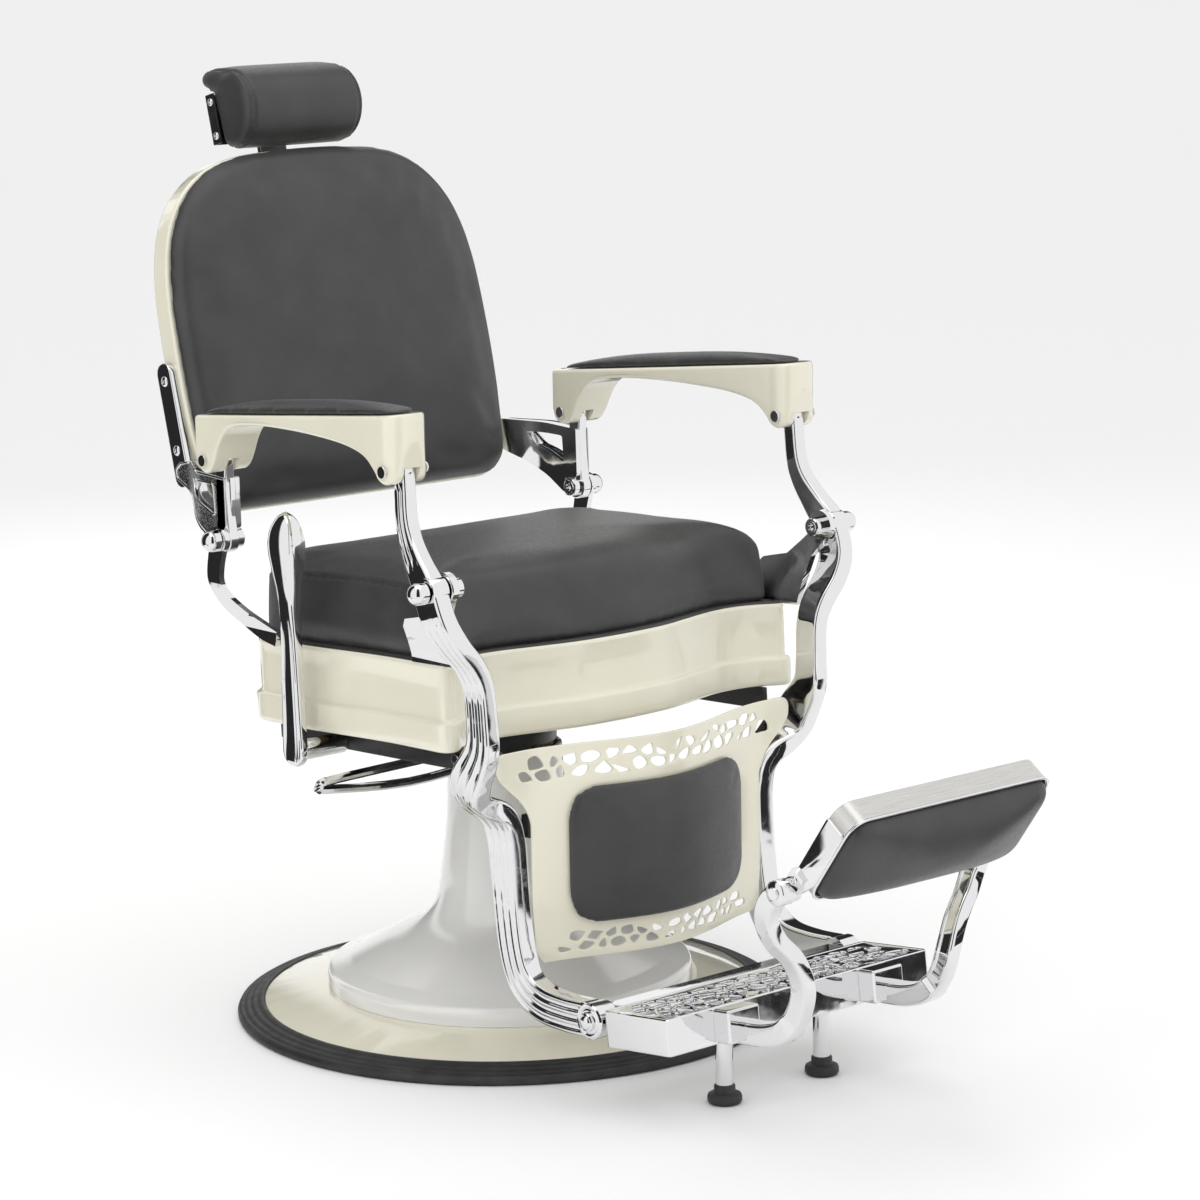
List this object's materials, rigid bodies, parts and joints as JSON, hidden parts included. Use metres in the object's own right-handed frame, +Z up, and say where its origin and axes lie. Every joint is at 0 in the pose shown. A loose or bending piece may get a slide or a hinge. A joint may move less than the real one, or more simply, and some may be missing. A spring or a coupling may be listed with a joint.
{
  "type": "hydraulic barber chair",
  "caption": "Vintage style barber chair on a round pump base, with a linked reclining back, level armrests, swinging leg rest, flip-over foot pad and sliding headrest.",
  "frame": {"origin": "Centre of the round base, on the floor", "axes": "+Z up, the chair faces -Y, +X is the sitter's left"},
  "size_m": [0.6635, 1.1992, 1.1202],
  "materials": {
    "black_rubber": "matte moulded rubber",
    "cream_enamel": "glossy baked enamel",
    "pale_enamel": "glossy baked enamel",
    "dark_steel": "oiled steel",
    "bronze": "machined",
    "hard_chrome": "ground and plated",
    "black_paint": "satin powder coat",
    "plywood": "sanded",
    "black_vinyl": "smooth soft vinyl upholstery",
    "polished_chrome": "polished plated casting",
    "brushed_band": "brushed"
  },
  "bodies": {
    "base": {"floor_ring": "black_rubber", "base_disc": "cream_enamel", "bell_cover": "pale_enamel", "guide_tube": "dark_steel", "guide_bush": "bronze", "thrust_bearing": "dark_steel", "base_bolts": "dark_steel"},
    "swivel": {"piston_rod": "hard_chrome"},
    "seat": {"pump_cylinder": "hard_chrome", "cylinder_gland": "black_rubber", "pump_head": "black_paint", "chassis": "black_paint", "seat_rails": "black_paint", "seat_board": "plywood", "seat_skirt": "cream_enamel", "seat_cushion": "black_vinyl", "front_bracket_left": "polished_chrome", "front_bracket_right": "polished_chrome", "rear_strut_left": "polished_chrome", "rear_strut_right": "polished_chrome", "pivot_bolts": "polished_chrome", "seat_screws": "polished_chrome", "lever_sleeve": "polished_chrome", "pedal_pin": "polished_chrome"},
    "recline_lever": {"recline_lever": "polished_chrome"},
    "pump_pedal": {"pump_pedal": "polished_chrome"},
    "back": {"back_shell": "cream_enamel", "back_cushion": "black_vinyl", "back_bracket_left": "polished_chrome", "back_bracket_right": "polished_chrome", "bracket_screws": "polished_chrome", "headrest_guide": "black_paint"},
    "headrest_bar": {"headrest_bar": "polished_chrome"},
    "headrest": {"headrest_hinge_pin": "polished_chrome", "headrest_plate": "black_paint", "headrest_cushion": "black_vinyl", "headrest_screws": "polished_chrome"},
    "armrest_left": {"armrest_left": "cream_enamel", "arm_pad_left": "black_vinyl", "arm_pins_left": "polished_chrome"},
    "armrest_right": {"armrest_right": "cream_enamel", "arm_pad_right": "black_vinyl", "arm_pins_right": "polished_chrome"},
    "legs": {"leg_frame_left": "polished_chrome", "leg_frame_right": "polished_chrome", "cross_bar": "black_paint", "calf_panel": "cream_enamel", "calf_pad": "black_vinyl", "footplate": "polished_chrome", "leg_bolts": "polished_chrome", "foot_posts": "polished_chrome", "rubber_feet": "black_rubber", "pad_arm_left": "polished_chrome", "pad_arm_right": "polished_chrome"},
    "foot_pad": {"foot_pad_tray": "brushed_band", "foot_pad_cushion": "black_vinyl", "foot_pad_pins": "polished_chrome"}
  },
  "joints": [
    {"name": "swivel", "type": "hinge", "parent": "base", "child": "swivel", "pos_m": [0, 0, 0.04], "axis": [0, 0, 1], "continuous": true},
    {"name": "lift", "type": "slide", "parent": "swivel", "child": "seat", "axis": [0, 0, 1], "range_m": [0, 0.17]},
    {"name": "recline", "type": "hinge", "parent": "seat", "child": "back", "pos_m": [0, 0.173, 0.585], "axis": [-1, 0, 0], "range_deg": [0, 35]},
    {"name": "armrest_left_turn", "type": "hinge", "parent": "back", "child": "armrest_left", "pos_m": [0, 0.172, 0.681], "axis": [1, 0, 0], "range_deg": [0, 40]},
    {"name": "armrest_right_turn", "type": "hinge", "parent": "back", "child": "armrest_right", "pos_m": [0, 0.172, 0.681], "axis": [1, 0, 0], "range_deg": [0, 40]},
    {"name": "leg_swing", "type": "hinge", "parent": "seat", "child": "legs", "pos_m": [0, -0.253, 0.581], "axis": [-1, 0, 0], "range_deg": [0, 29]},
    {"name": "headrest_height", "type": "slide", "parent": "back", "child": "headrest_bar", "axis": [0, 0.2419, 0.9703], "range_m": [0, 0.09]},
    {"name": "headrest_tilt", "type": "hinge", "parent": "headrest_bar", "child": "headrest", "pos_m": [0, 0.43854, 1.03838], "axis": [-1, 0, 0], "range_deg": [0, 40]},
    {"name": "foot_pad_flip", "type": "hinge", "parent": "legs", "child": "foot_pad", "pos_m": [0, -0.649, 0.293], "axis": [-1, 0, 0], "range_deg": [0, 120]},
    {"name": "recline_lever_pull", "type": "hinge", "parent": "seat", "child": "recline_lever", "pos_m": [0, 0.016, 0.359], "axis": [-1, 0, 0], "range_deg": [0, 18], "stiffness_Nm_per_rad": 6, "springref_deg": -20.05},
    {"name": "pump_pedal_press", "type": "hinge", "parent": "seat", "child": "pump_pedal", "pos_m": [-0.084, -0.066, 0.336], "axis": [0, -1, 0], "range_deg": [0, 16], "stiffness_Nm_per_rad": 30, "springref_deg": -17.19}
  ],
  "couplings": [
    {"joint": "armrest_left_turn", "follows": "recline", "ratio": 1.119},
    {"joint": "armrest_right_turn", "follows": "recline", "ratio": 1.119},
    {"joint": "leg_swing", "follows": "recline", "ratio": 0.806}
  ]
}
